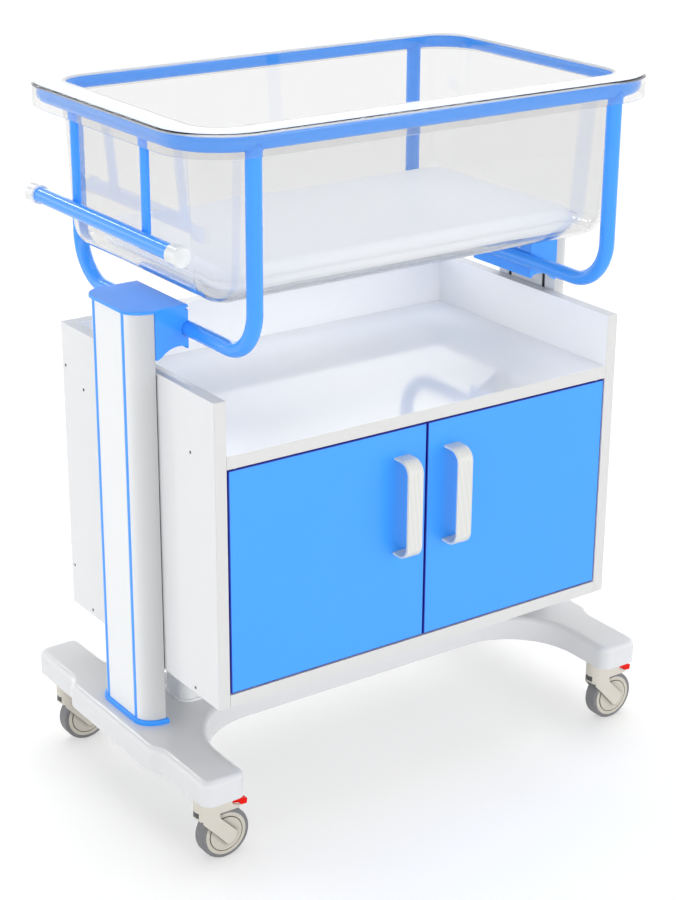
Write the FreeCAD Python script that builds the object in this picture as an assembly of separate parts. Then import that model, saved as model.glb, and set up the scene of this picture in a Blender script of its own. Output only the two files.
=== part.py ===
import FreeCAD, Part
import os
from math import cos, pi, radians, sin, sqrt

V = FreeCAD.Vector
os.makedirs("parts", exist_ok=True)

# Hospital bassinet: a laminate cabinet and two telescopic columns stand on a moulded base with
# four braked casters. A steel tube crib frame lies in a pivot saddle on each column's cap bracket
# and carries a clear tub that lifts out. X runs along the tub, Y towards the back, Z up.
# All sizes in millimetres.

# Driving dimensions -------------------------------------------------------------------------
CABINET_W, CABINET_HALF_D = 680.0, 207.0
CABINET_Z0, CABINET_Z1 = 226.0, 663.0
PANEL = 18.0                                 # laminate board
TRAY_TOP = 587.0
DOOR_GAP = 2.0

TUBE_R, TUBE_WALL = 10.65, 2.0               # 21.3 mm steel tube
DROP_R = 6.0
RIM_HALF_X, RIM_HALF_Y, RIM_Z = 366.5, 229.0, 995.0
CORNER_X, CORNER_Y = 291.0, 153.5            # centre of every plan corner of the rim and tub
SUPPORT_Z, SUPPORT_BEND = 716.5, 65.0        # lying run of each U tube, and its bend

BAR_X, BAR_Z, BAR_HALF = 376.0, 857.0, 178.0
DROP_X, DROP_Y = 364.5, 92.4
CAP_R, CAP_LENGTH = 13.5, 23.0

COLUMN_IN, COLUMN_OUT = 342.0, 375.0         # |x| of the column's inner and outer face
COLUMN_FLAT, COLUMN_HALF = 39.0, 65.0        # |y| where the round corner starts and ends
COLUMN_TOP, COLUMN_WALL = 746.0, 2.5
GROOVE_W, GROOVE_DEPTH = 6.5, 3.2
STROKE, TILT_DEG = 200.0, 6.0

BASE_Z0, BASE_Z1, BASE_WALL = 107.0, 145.0, 4.0
BASE_HALF_X, BASE_END_X, BASE_HALF_Y = 398.0, 387.0, 244.0
LEG_IN, BEAM_HALF = 319.0, 56.5              # inner side of a leg, half width of the cross beam

SWIVEL_X, SWIVEL_Y, TRAIL = 353.0, 200.0, 18.0
WHEEL_R, WHEEL_HALF, HUB_R = 37.5, 10.5, 31.8

# The casters trail to one side, so the middle of the whole outline is off the columns' middle.
CENTRE_X = (SWIVEL_X + TRAIL + WHEEL_R - BASE_HALF_X) / 2
TILT_RISE = 2 * CORNER_X * radians(TILT_DEG)


# Shapes -------------------------------------------------------------------------------------
def save(node, *solids):
    """Write one sub-part, as one solid or as a group of separate solids."""
    shape = solids[0].copy() if len(solids) == 1 else Part.makeCompound(list(solids))
    shape.translate(V(-CENTRE_X, 0, 0))
    bad = [s for s in shape.Solids if not s.isValid() or s.Volume <= 0]
    print(f"{node}: {len(shape.Solids)} solid(s), {sum(s.Volume for s in shape.Solids) / 1e3:.1f} cm3",
          "INVALID" if bad or not shape.Solids else "")
    shape.exportStep(f"parts/{node}.step")


def box(x0, x1, y0, y1, z0, z1):
    """A box between two corners, given in either order."""
    x, y, z = sorted((x0, x1)), sorted((y0, y1)), sorted((z0, z1))
    return Part.makeBox(x[1] - x[0], y[1] - y[0], z[1] - z[0], V(x[0], y[0], z[0]))


def rod(radius, start, end):
    """A round bar from one point to another."""
    line = V(*end) - V(*start)
    return Part.makeCylinder(radius, line.Length, V(*start), line)


def rounded_wire(half_x, half_y, z, corner):
    """A rounded rectangle about the Z axis; corner is its radius."""
    x, y, c = half_x - corner, half_y - corner, corner * sqrt(0.5)
    edges = []
    for k, (sx, sy) in enumerate(((1, 1), (-1, 1), (-1, -1), (1, -1))):
        a, b = V(sx * (x + corner), sy * y, z), V(sx * x, sy * (y + corner), z)
        middle = V(sx * (x + c), sy * (y + c), z)
        start, end = (a, b) if k % 2 == 0 else (b, a)
        if edges:
            edges.append(Part.makeLine(last, start))
        else:
            first = start
        edges.append(Part.Arc(start, middle, end).toShape())
        last = end
    edges.append(Part.makeLine(last, first))
    return Part.Wire(edges)


def rounded_block(half_x, half_y, z0, z1, corner):
    """A rounded rectangle raised from z0 to z1."""
    return Part.Face(rounded_wire(half_x, half_y, z0, corner)).extrude(V(0, 0, z1 - z0))


def plate_xz(points, y0, y1):
    """A flat outline in the XZ plane, extruded from y0 to y1."""
    corners = [V(x, y0, z) for x, z in points]
    return Part.Face(Part.makePolygon(corners + corners[:1])).extrude(V(0, y1 - y0, 0))


def mirrored_x(shape):
    return shape.mirror(V(0, 0, 0), V(1, 0, 0))


def mirrored_y(shape):
    return shape.mirror(V(0, 0, 0), V(0, 1, 0))


def both_sides_y(shape):
    return [shape, mirrored_y(shape)]


def edges_at_z(shape, z):
    """The edges of a shape that lie flat at one height."""
    return [e for e in shape.Edges if abs(e.BoundBox.ZMin - z) < 0.01 and abs(e.BoundBox.ZMax - z) < 0.01]


# Base: a moulded H-plan cover over a welded steel frame ---------------------------------------
JOG_Y0, JOG_Y1 = 105.0, 139.0                # the cover's side steps in between these
LEG_CORNER, BAY_RADIUS, BASE_ROUND = 16.0, 114.5, 9.0
FRAME_TOP, FRAME_H = BASE_Z1 - BASE_WALL, 30.0
LEG_TUBE_HALF, BEAM_TUBE_HALF, LEG_TUBE_END, FRAME_WALL = 25.0, 30.0, 215.0, 2.0
SOCKET_R, STEM_R = 11.0, 5.5
FOOT_BLOCK_H = 24.0


def base_block(inset, z0, z1):
    """The H-plan outline, moved inwards by inset, raised from z0 to z1."""
    step = BASE_HALF_X - BASE_END_X
    jog = ((JOG_Y1 - JOG_Y0) ** 2 + step ** 2) / (4 * step)
    c1, c2 = V(BASE_HALF_X - jog, JOG_Y0, z0), V(BASE_END_X + jog, JOG_Y1, z0)
    across = (c2 - c1).normalize()
    up = (across + V(1, 0, 0)).normalize()

    def arc(centre, radius, begin, through, end):
        ends = [centre + d.normalize() * radius for d in (begin, through, end)]
        return Part.Arc(*ends).toShape()

    end_c = V(BASE_END_X - LEG_CORNER, BASE_HALF_Y - LEG_CORNER, z0)
    in_c = V(LEG_IN + LEG_CORNER, BASE_HALF_Y - LEG_CORNER, z0)
    bay_c = V(LEG_IN - BAY_RADIUS, BEAM_HALF + BAY_RADIUS, z0)
    corner, bay = LEG_CORNER - inset, BAY_RADIUS + inset
    arcs = [
        arc(c1, jog - inset, V(1, 0, 0), V(up), V(across)),
        arc(c2, jog + inset, V(across) * -1, V(up) * -1, V(-1, 0, 0)),
        arc(end_c, corner, V(1, 0, 0), V(1, 1, 0), V(0, 1, 0)),
        arc(in_c, corner, V(0, 1, 0), V(-1, 1, 0), V(-1, 0, 0)),
        arc(bay_c, bay, V(1, 0, 0), V(1, -1, 0), V(0, -1, 0)),
    ]
    edges, last = [], V(BASE_HALF_X - inset, 0, z0)
    for piece in arcs:
        start, end = piece.valueAt(piece.FirstParameter), piece.valueAt(piece.LastParameter)
        if (start - last).Length > 0.001:
            edges.append(Part.makeLine(last, start))
        edges.append(piece)
        last = end
    for point in (V(0, BEAM_HALF - inset, z0), V(0, 0, z0), V(BASE_HALF_X - inset, 0, z0)):
        edges.append(Part.makeLine(last, point))
        last = point
    quarter = Part.Face(Part.Wire(edges)).extrude(V(0, 0, z1 - z0))
    half = quarter.fuse(mirrored_y(quarter))
    return half.fuse(mirrored_x(half)).removeSplitter().Solids[0]


def column_block(offset, z0, z1, end_offset=None):
    """The column's D-shaped section at +X, grown by offset, raised from z0 to z1."""
    end_offset = offset if end_offset is None else end_offset
    a, b = COLUMN_OUT - COLUMN_IN + offset, COLUMN_HALF - COLUMN_FLAT + offset
    x_in = COLUMN_IN - max(end_offset, 0)
    centres = [V(COLUMN_IN, s * COLUMN_FLAT, z0) for s in (-1, 1)]
    low = Part.ArcOfEllipse(Part.Ellipse(centres[0], a, b), 1.5 * pi, 2 * pi).toShape()
    high = Part.ArcOfEllipse(Part.Ellipse(centres[1], a, b), 0, 0.5 * pi).toShape()
    corners = [V(COLUMN_IN, -COLUMN_FLAT - b, z0), V(COLUMN_IN + a, -COLUMN_FLAT, z0),
               V(COLUMN_IN + a, COLUMN_FLAT, z0), V(COLUMN_IN, COLUMN_FLAT + b, z0),
               V(x_in, COLUMN_FLAT + b, z0), V(x_in, -COLUMN_FLAT - b, z0)]
    edges = [low, Part.makeLine(corners[1], corners[2]), high]
    if end_offset > 0:
        edges += [Part.makeLine(corners[3], corners[4]), Part.makeLine(corners[4], corners[5]),
                  Part.makeLine(corners[5], corners[0])]
    else:
        edges.append(Part.makeLine(corners[3], corners[0]))
    block = Part.Face(Part.Wire(edges)).extrude(V(0, 0, z1 - z0))
    if end_offset < 0:
        block = block.cut(box(COLUMN_IN - 1, COLUMN_IN - end_offset, -100, 100, z0 - 1, z1 + 1))
    return block


def rect_tube(x0, x1, y0, y1, z0, z1, along):
    """A box section with open ends, running along X or Y."""
    wall = [FRAME_WALL if axis != along else -1 for axis in "XYZ"]
    core = box(x0 + wall[0], x1 - wall[0], y0 + wall[1], y1 - wall[1], z0 + wall[2], z1 - wall[2])
    return box(x0, x1, y0, y1, z0, z1).cut(core)


outer = base_block(0, BASE_Z0, BASE_Z1)
outer = outer.makeFillet(BASE_ROUND, edges_at_z(outer, BASE_Z1))
outer = outer.makeFillet(2.0, edges_at_z(outer, BASE_Z0))
hollow = base_block(BASE_WALL, BASE_Z0 - 1, FRAME_TOP)
hollow = hollow.makeFillet(BASE_ROUND - BASE_WALL, edges_at_z(hollow, FRAME_TOP))
column_hole = column_block(0.5, FRAME_TOP - 1, BASE_Z1 + 1)
base_cover = outer.cut(hollow).cut(column_hole).cut(mirrored_x(column_hole))
save("base_cover", base_cover)

leg = rect_tube(SWIVEL_X - LEG_TUBE_HALF, SWIVEL_X + LEG_TUBE_HALF, -LEG_TUBE_END, LEG_TUBE_END,
                FRAME_TOP - FRAME_H, FRAME_TOP, "Y")
foot_block = column_block(-COLUMN_WALL - 0.2, FRAME_TOP, FRAME_TOP + FOOT_BLOCK_H)
foot_block = foot_block.common(box(348.5, 368.5, -48, 48, FRAME_TOP, FRAME_TOP + FOOT_BLOCK_H))
sockets = [rod(SOCKET_R, (SWIVEL_X, s * SWIVEL_Y, FRAME_TOP - FRAME_H), (SWIVEL_X, s * SWIVEL_Y, FRAME_TOP))
           for s in (-1, 1)]
side_frame = leg.fuse(sockets + [foot_block])
for s in (-1, 1):
    side_frame = side_frame.cut(rod(STEM_R, (SWIVEL_X, s * SWIVEL_Y, FRAME_TOP - FRAME_H - 1),
                                    (SWIVEL_X, s * SWIVEL_Y, FRAME_TOP + 1)))
beam_end = SWIVEL_X - LEG_TUBE_HALF
beam = rect_tube(-beam_end, beam_end, -BEAM_TUBE_HALF, BEAM_TUBE_HALF, FRAME_TOP - FRAME_H, FRAME_TOP, "X")
base_frame = beam.fuse([side_frame, mirrored_x(side_frame)]).removeSplitter()
save("base_frame", base_frame)

# Plinth: a folded sheet box on the cross beam, with a foot flange, that carries the cabinet.
PLINTH_HALF_X, PLINTH_HALF_Y, PLINTH_CORNER, PLINTH_WALL, FLANGE = 293.0, 30.0, 18.0, 3.0, 4.0
plinth = rounded_block(PLINTH_HALF_X, PLINTH_HALF_Y, BASE_Z1, CABINET_Z0, PLINTH_CORNER)
plinth = plinth.fuse(rounded_block(PLINTH_HALF_X + FLANGE, PLINTH_HALF_Y + FLANGE, BASE_Z1,
                                   BASE_Z1 + PLINTH_WALL, PLINTH_CORNER + FLANGE))
plinth = plinth.cut(rounded_block(PLINTH_HALF_X - PLINTH_WALL, PLINTH_HALF_Y - PLINTH_WALL, BASE_Z1 - 1,
                                  CABINET_Z0 - PLINTH_WALL, PLINTH_CORNER - PLINTH_WALL))
save("plinth", plinth)

# Cabinet: laminate boards, screwed ------------------------------------------------------------
PANEL_IN = CABINET_W / 2 - PANEL
BACK_IN = CABINET_HALF_D - PANEL
SCREW_R, SCREW_LENGTH, SCREW_SINK = 2.5, 46.0, 1.0
SCREW_Y = 146.0
BACK_SCREW_Z = (288.0, 600.0)
BOLT_Z = (300.0, 520.0)
BOLT_R, WASHER_R, BOLT_HEAD_R, BOLT_HEAD_H = 2.5, 6.0, 4.5, 3.0

side_panel = box(PANEL_IN, PANEL_IN + PANEL, -CABINET_HALF_D, CABINET_HALF_D, CABINET_Z0, CABINET_Z1)
side_panel = side_panel.makeFillet(1.0, [e for e in side_panel.Edges
                                         if e.BoundBox.XMin > PANEL_IN + 1 or e.BoundBox.YMax < 0])
back_panel = box(-PANEL_IN, PANEL_IN, BACK_IN, CABINET_HALF_D, CABINET_Z0, CABINET_Z1)
tray_panel = box(-PANEL_IN, PANEL_IN, -CABINET_HALF_D, BACK_IN, TRAY_TOP - PANEL, TRAY_TOP)
bottom_panel = box(-PANEL_IN, PANEL_IN, -CABINET_HALF_D, BACK_IN, CABINET_Z0, CABINET_Z0 + PANEL)


def panel_screw(y, z):
    """A long chipboard screw with a round socket, driven through the side panel at +X."""
    x = PANEL_IN + PANEL - SCREW_SINK
    return rod(SCREW_R, (x - SCREW_LENGTH, y, z), (x, y, z)).cut(rod(1.5, (x - 3, y, z), (x + 1, y, z)))


def panel_screw_hole(y, z):
    return rod(SCREW_R, (PANEL_IN + PANEL - SCREW_SINK - SCREW_LENGTH, y, z), (PANEL_IN + PANEL + 1, y, z))


def cabinet_bolt(y, z):
    """Bolt from inside the cabinet to a sliding nut in the column's groove."""
    x = PANEL_IN + PANEL
    parts = [rod(BOLT_HEAD_R, (PANEL_IN - BOLT_HEAD_H, y, z), (PANEL_IN, y, z)),
             rod(WASHER_R, (x, y, z), (COLUMN_IN, y, z)),
             box(COLUMN_IN, COLUMN_IN + GROOVE_DEPTH - 0.2, y - 3.1, y + 3.1, z - 6, z + 6)]
    return rod(BOLT_R, (PANEL_IN, y, z), (x, y, z)).fuse(parts).removeSplitter()


screw_places = [(s * SCREW_Y, z) for s in (-1, 1) for z in (CABINET_Z0 + PANEL / 2, TRAY_TOP - PANEL / 2)]
screw_places += [(CABINET_HALF_D - PANEL / 2, z) for z in BACK_SCREW_Z]
bolt_places = [(s * COLUMN_FLAT, z) for s in (-1, 1) for z in BOLT_Z]
screws, bolts = [], []
for y, z in screw_places:
    hole = panel_screw_hole(y, z)
    side_panel = side_panel.cut(hole)
    holes = [hole, mirrored_x(hole)]
    back_panel, tray_panel, bottom_panel = [p.cut(holes) for p in (back_panel, tray_panel, bottom_panel)]
    screws += [panel_screw(y, z), mirrored_x(panel_screw(y, z))]
for y, z in bolt_places:
    side_panel = side_panel.cut(rod(BOLT_R, (PANEL_IN - 1, y, z), (PANEL_IN + PANEL + 1, y, z)))
    bolts += [cabinet_bolt(y, z), mirrored_x(cabinet_bolt(y, z))]

# Doors hang on pins near their outer edge, just behind the front face.
DOOR_Z0, DOOR_Z1 = CABINET_Z0 + PANEL + DOOR_GAP, TRAY_TOP - PANEL - DOOR_GAP
PIVOT_X, PIVOT_Y = PANEL_IN - DOOR_GAP - 12.0, 5.0 - CABINET_HALF_D
PIVOT_R, PIVOT_IN, PIVOT_CLEAR = 2.5, 10.0, 0.05
HANDLE_X, HANDLE_W, HANDLE_T = 42.6, 25.6, 4.0
HANDLE_Z0, HANDLE_Z1, HANDLE_OUT = 383.5, 528.0, 33.5
HANDLE_LOW_BEND, HANDLE_TOP_BEND = 20.0, 19.0


def pivot_pin(door_face, direction):
    """A pin from the board into the door, at the door's lower or upper edge."""
    start = door_face - direction * (DOOR_GAP + PIVOT_IN - 2)
    end = door_face + direction * PIVOT_IN
    return rod(PIVOT_R, (PIVOT_X, PIVOT_Y, start), (PIVOT_X, PIVOT_Y, end))


pins = [pivot_pin(DOOR_Z0, 1), pivot_pin(DOOR_Z1, -1)]
pins += [mirrored_x(p) for p in pins]
tray_panel, bottom_panel = tray_panel.cut(pins), bottom_panel.cut(pins)

door = box(DOOR_GAP / 2, PANEL_IN - DOOR_GAP, -CABINET_HALF_D, PANEL - CABINET_HALF_D, DOOR_Z0, DOOR_Z1)
door = door.makeFillet(1.2, [e for e in door.Edges if e.BoundBox.YMax < -CABINET_HALF_D + 0.1])
for face_z, direction in ((DOOR_Z0, 1), (DOOR_Z1, -1)):
    door = door.cut(rod(PIVOT_R + PIVOT_CLEAR, (PIVOT_X, PIVOT_Y, face_z - direction),
                        (PIVOT_X, PIVOT_Y, face_z + direction * (PIVOT_IN + 0.3))))


def bow_handle():
    """A flat strip bent back to the door at both ends, for the door at +X."""
    x0, y_door, y_out = HANDLE_X - HANDLE_W / 2, -CABINET_HALF_D, -CABINET_HALF_D - HANDLE_OUT

    def outline(t):
        """Side outline of the bow, moved in from its outside by t."""
        runs = []
        for z_end, bend, down in ((HANDLE_Z0, HANDLE_LOW_BEND, -1), (HANDLE_Z1, HANDLE_TOP_BEND, 1)):
            yc, zc, r = y_out + bend, z_end - down * bend, bend - t
            runs.append((V(x0, y_door, zc + down * r), V(x0, yc, zc + down * r),
                         V(x0, yc - r * sqrt(0.5), zc + down * r * sqrt(0.5)), V(x0, yc - r, zc)))
        edges = []
        for foot, start, middle, end in runs:
            edges += [Part.makeLine(foot, start), Part.Arc(start, middle, end).toShape()]
        edges += [Part.makeLine(runs[0][3], runs[1][3]), Part.makeLine(runs[0][0], runs[1][0])]
        return Part.Face(Part.Wire(Part.__sortEdges__(edges))).extrude(V(HANDLE_W, 0, 0))

    strip = outline(0).cut(outline(HANDLE_T))
    sides = (x0, x0 + HANDLE_W)
    return strip.makeFillet(1.3, [e for e in strip.Edges if e.BoundBox.XLength < 0.01
                                  and min(abs(e.BoundBox.XMin - x) for x in sides) < 0.01
                                  and e.BoundBox.YMin < y_door - 0.1])


handle = bow_handle()
for side, turn in (("left", mirrored_x), ("right", lambda shape: shape)):
    save(f"side_panel_{side}", turn(side_panel))
    save(f"door_{side}", turn(door))
    save(f"door_handle_{side}", turn(handle))
save("back_panel", back_panel)
save("tray_panel", tray_panel)
save("bottom_panel", bottom_panel)
save("panel_screws", *screws)
save("cabinet_bolts", *bolts)
save("door_pivot_pins", *pins)

# Columns: aluminium extrusions, each with a telescopic inner column and a gas spring ----------
INNER_X0, INNER_X1, INNER_HALF_Y, INNER_Z0, INNER_WALL = 348.5, 368.5, 48.0, 380.0, 2.0
BOSS_HALF, BOSS_DEPTH = 6.0, GROOVE_DEPTH + COLUMN_WALL
GLIDE_Z0, GLIDE_CLEAR = 706.0, 0.3
COLLAR_H, COLLAR_OUT = 7.0, 4.0
SPRING_X = (INNER_X0 + INNER_X1) / 2
SPRING_Z0, SPRING_Z1 = FRAME_TOP + FOOT_BLOCK_H, 485.0
SPRING_R, BORE_R, ROD_R, PISTON_R, PISTON_Z, PISTON_H = 7.4, 6.4, 4.0, 6.33, 198.0, 12.0
SLIDE_FIT = 0.05

cavity = column_block(-COLUMN_WALL, FRAME_TOP - 1, COLUMN_TOP + 1)
groove_faces = ((COLUMN_IN, 1), (COLUMN_OUT, -1))
for x, direction in groove_faces:
    for s in (-1, 1):
        y = s * COLUMN_FLAT
        cavity = cavity.cut(box(x, x + direction * BOSS_DEPTH, y - BOSS_HALF, y + BOSS_HALF,
                                0, COLUMN_TOP + 2))
column = column_block(0, FRAME_TOP, COLUMN_TOP).cut(cavity)
stripes = []
for x, direction in groove_faces:
    for s in (-1, 1):
        y = s * COLUMN_FLAT
        groove = box(x - direction, x + direction * GROOVE_DEPTH, y - GROOVE_W / 2, y + GROOVE_W / 2,
                     0, COLUMN_TOP + 2)
        column = column.cut(groove)
        if direction < 0:
            stripes.append(box(x + 0.3, x - GROOVE_DEPTH, y - GROOVE_W / 2, y + GROOVE_W / 2,
                               BASE_Z1 + COLLAR_H, COLUMN_TOP))

inner_core = box(INNER_X0 + INNER_WALL, INNER_X1 - INNER_WALL, INNER_WALL - INNER_HALF_Y,
                 INNER_HALF_Y - INNER_WALL, INNER_Z0 - 1, COLUMN_TOP + 1)
inner_column = box(INNER_X0, INNER_X1, -INNER_HALF_Y, INNER_HALF_Y, INNER_Z0, COLUMN_TOP)
inner_column = inner_column.makeFillet(2.0, [e for e in inner_column.Edges if e.BoundBox.ZLength > 100])
inner_column = inner_column.cut(inner_core)

glide = cavity.common(box(0, 400, -100, 100, GLIDE_Z0, COLUMN_TOP - 2))
glide = glide.cut(box(INNER_X0 - GLIDE_CLEAR, INNER_X1 + GLIDE_CLEAR, -INNER_HALF_Y - GLIDE_CLEAR,
                      INNER_HALF_Y + GLIDE_CLEAR, 0, COLUMN_TOP + 1))
collar = column_block(COLLAR_OUT, BASE_Z1, BASE_Z1 + COLLAR_H)
collar = collar.makeFillet(2.0, edges_at_z(collar, BASE_Z1 + COLLAR_H))
collar = collar.cut(column_block(0, BASE_Z1 - 1, BASE_Z1 + COLLAR_H + 1))


def gas_spring_tube():
    """Pressure tube: closed at the foot, with a rod guide in its upper end."""
    tube = rod(SPRING_R, (SPRING_X, 0, SPRING_Z0), (SPRING_X, 0, SPRING_Z1))
    tube = tube.cut(rod(BORE_R, (SPRING_X, 0, SPRING_Z0 + 5), (SPRING_X, 0, SPRING_Z1 - 10)))
    return tube.cut(rod(ROD_R + SLIDE_FIT, (SPRING_X, 0, SPRING_Z0 + 5), (SPRING_X, 0, SPRING_Z1 + 1)))


spring_rod = rod(PISTON_R, (SPRING_X, 0, PISTON_Z), (SPRING_X, 0, PISTON_Z + PISTON_H))
spring_rod = spring_rod.fuse(rod(ROD_R, (SPRING_X, 0, PISTON_Z), (SPRING_X, 0, COLUMN_TOP)))

# Cap bracket: a folded steel box over the cabinet's side, with a lid over the column's top.
BRACKET_IN, BRACKET_HALF, BRACKET_T = 292.0, 67.0, 3.0
BRACKET_OUT = COLUMN_IN - 0.4
LID_T, LID_OVER = 4.0, 4.0
BRACKET_LOW, BRACKET_ARCH, BRACKET_LIP = 681.0, 694.5, 690.0
PIVOT_FIT, NOTCH_R = 0.05, TUBE_R + 0.5
SADDLE_X0, SADDLE_X1, SADDLE_Y0, SADDLE_Y1 = 295.0, 320.0, 22.0, 62.0
SADDLE_Z0, SADDLE_Z1 = SUPPORT_Z - 16.0, SUPPORT_Z + 26.5
SADDLE_SCREW_Y, SADDLE_SCREW_Z, SADDLE_SCREW_R = 40.0, SUPPORT_Z + 19.0, 5.0
RELIEF_Y, RELIEF_Z = 62.5, 743.0             # notch in each upper corner of the fold

arch = [(BRACKET_OUT - 2.5, BRACKET_LOW), (BRACKET_OUT - 8, BRACKET_LOW + 2.5),
        (BRACKET_OUT - 15, BRACKET_LOW + 8), (BRACKET_OUT - 22, BRACKET_ARCH - 2),
        (BRACKET_OUT - 30, BRACKET_ARCH), (BRACKET_IN + 10, BRACKET_ARCH), (BRACKET_IN, BRACKET_LIP)]
arch_curve = Part.BSplineCurve()
arch_curve.interpolate([V(x, BRACKET_HALF, z) for x, z in arch])
outline = [arch_curve.toShape(),
           Part.makeLine(V(BRACKET_IN, BRACKET_HALF, BRACKET_LIP), V(BRACKET_IN, BRACKET_HALF, COLUMN_TOP)),
           Part.makeLine(V(BRACKET_IN, BRACKET_HALF, COLUMN_TOP), V(BRACKET_OUT, BRACKET_HALF, COLUMN_TOP)),
           Part.makeLine(V(BRACKET_OUT, BRACKET_HALF, COLUMN_TOP), V(BRACKET_OUT, BRACKET_HALF, BRACKET_LOW)),
           Part.makeLine(V(BRACKET_OUT, BRACKET_HALF, BRACKET_LOW), V(arch[0][0], BRACKET_HALF, arch[0][1]))]
cheek = Part.Face(Part.Wire(outline)).extrude(V(0, -BRACKET_T, 0))
front_plate = box(BRACKET_IN, BRACKET_IN + BRACKET_T, -BRACKET_HALF, BRACKET_HALF, BRACKET_LIP, COLUMN_TOP)
lid = column_block(LID_OVER, COLUMN_TOP, COLUMN_TOP + LID_T, end_offset=0)
lid = lid.fuse(box(BRACKET_IN, COLUMN_IN, -BRACKET_HALF, BRACKET_HALF, COLUMN_TOP, COLUMN_TOP + LID_T))
lid = lid.removeSplitter()
lid = lid.makeFillet(1.5, [e for e in edges_at_z(lid, COLUMN_TOP + LID_T)])
tube_notch = rod(NOTCH_R, (CORNER_X, -BRACKET_HALF - 1, SUPPORT_Z), (CORNER_X, BRACKET_HALF + 1, SUPPORT_Z))
relief = box(BRACKET_IN - 1, BRACKET_IN + BRACKET_T + 1, RELIEF_Y, BRACKET_HALF + 1, RELIEF_Z, COLUMN_TOP)
bracket = lid.fuse(both_sides_y(cheek) + [front_plate])
bracket = bracket.cut([tube_notch] + both_sides_y(relief)).removeSplitter()

saddle = box(SADDLE_X0, SADDLE_X1, SADDLE_Y0, SADDLE_Y1, SADDLE_Z0, SADDLE_Z1)
saddle = saddle.cut(rod(TUBE_R + PIVOT_FIT, (CORNER_X, 0, SUPPORT_Z), (CORNER_X, 100, SUPPORT_Z)))
screw_line = ((BRACKET_IN, SADDLE_SCREW_Y, SADDLE_SCREW_Z), (SADDLE_X0 + 8, SADDLE_SCREW_Y, SADDLE_SCREW_Z))
saddle_screw = rod(2.0, *screw_line)
saddle = saddle.cut(saddle_screw)
bracket = bracket.cut(both_sides_y(saddle_screw))
saddle_screw = saddle_screw.fuse(rod(SADDLE_SCREW_R, (BRACKET_IN - 2.0, SADDLE_SCREW_Y, SADDLE_SCREW_Z),
                                     (BRACKET_IN, SADDLE_SCREW_Y, SADDLE_SCREW_Z)))
saddle_screw = saddle_screw.cut(rod(2.5, (BRACKET_IN - 3, SADDLE_SCREW_Y, SADDLE_SCREW_Z),
                                    (BRACKET_IN - 0.8, SADDLE_SCREW_Y, SADDLE_SCREW_Z)))

for side, turn in (("left", mirrored_x), ("right", lambda shape: shape)):
    save(f"column_{side}", turn(column))
    save(f"inner_column_{side}", turn(inner_column))
    save(f"gas_spring_rod_{side}", turn(spring_rod))
    save(f"cap_bracket_{side}", turn(bracket))
    save(f"pivot_saddles_{side}", *[turn(s) for s in both_sides_y(saddle)])
    save(f"saddle_screws_{side}", *[turn(s) for s in both_sides_y(saddle_screw)])
save("column_stripes", *(stripes + [mirrored_x(s) for s in stripes]))
save("column_collars", collar, mirrored_x(collar))
save("column_glides", glide, mirrored_x(glide))
save("gas_spring_tubes", gas_spring_tube(), mirrored_x(gas_spring_tube()))

# Crib frame: welded 21.3 mm tube --------------------------------------------------------------


def swept_tube(radius, wire_parts):
    """Fuse straight and bent runs: each part is (start, end) or (centre, axis, start, degrees)."""
    pieces = []
    for part in wire_parts:
        if len(part) == 2:
            pieces.append(rod(radius, *part))
        else:
            centre, axis, start, degrees = part
            tangent = V(*axis).cross(V(*start) - V(*centre))
            disc = Part.Face(Part.Wire(Part.makeCircle(radius, V(*start), tangent)))
            pieces.append(disc.revolve(V(*centre), V(*axis), degrees))
    return pieces[0].fuse(pieces[1:]).removeSplitter()


def rim_runs():
    """Straight and bent runs of the closed rim."""
    runs, bend = [], RIM_HALF_X - CORNER_X
    for sx, sy in ((1, 1), (-1, 1), (-1, -1), (1, -1)):
        start = (sx * CORNER_X, sy * RIM_HALF_Y, RIM_Z)
        if sx == sy:
            start = (sx * RIM_HALF_X, sy * CORNER_Y, RIM_Z)
        runs.append(((sx * CORNER_X, sy * (RIM_HALF_Y - bend), RIM_Z), (0, 0, 1), start, 90))
    for s in (-1, 1):
        runs.append(((-CORNER_X, s * RIM_HALF_Y, RIM_Z), (CORNER_X, s * RIM_HALF_Y, RIM_Z)))
        runs.append(((s * RIM_HALF_X, -CORNER_Y, RIM_Z), (s * RIM_HALF_X, CORNER_Y, RIM_Z)))
    return runs


def support_runs(top):
    """Runs of a U tube: down, under the tub and up again, at x = CORNER_X."""
    x, bend_y, bend_z = CORNER_X, RIM_HALF_Y - SUPPORT_BEND, SUPPORT_Z + SUPPORT_BEND
    runs = [((x, -bend_y, SUPPORT_Z), (x, bend_y, SUPPORT_Z))]
    for s in (-1, 1):
        runs.append(((x, s * bend_y, bend_z), (s, 0, 0), (x, s * bend_y, SUPPORT_Z), 90))
        runs.append(((x, s * RIM_HALF_Y, bend_z), (x, s * RIM_HALF_Y, top)))
    return runs


rim_solid = swept_tube(TUBE_R, rim_runs())
rim_tube = rim_solid.cut(swept_tube(TUBE_R - TUBE_WALL, rim_runs()))
save("rim_tube", rim_tube)

support = swept_tube(TUBE_R, support_runs(RIM_Z)).cut(swept_tube(TUBE_R - TUBE_WALL, support_runs(RIM_Z + 1)))
support = support.cut(rim_solid)
support = max(support.Solids, key=lambda s: s.Volume)
save("support_tube_right", support)
save("support_tube_left", mirrored_x(support))

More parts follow.
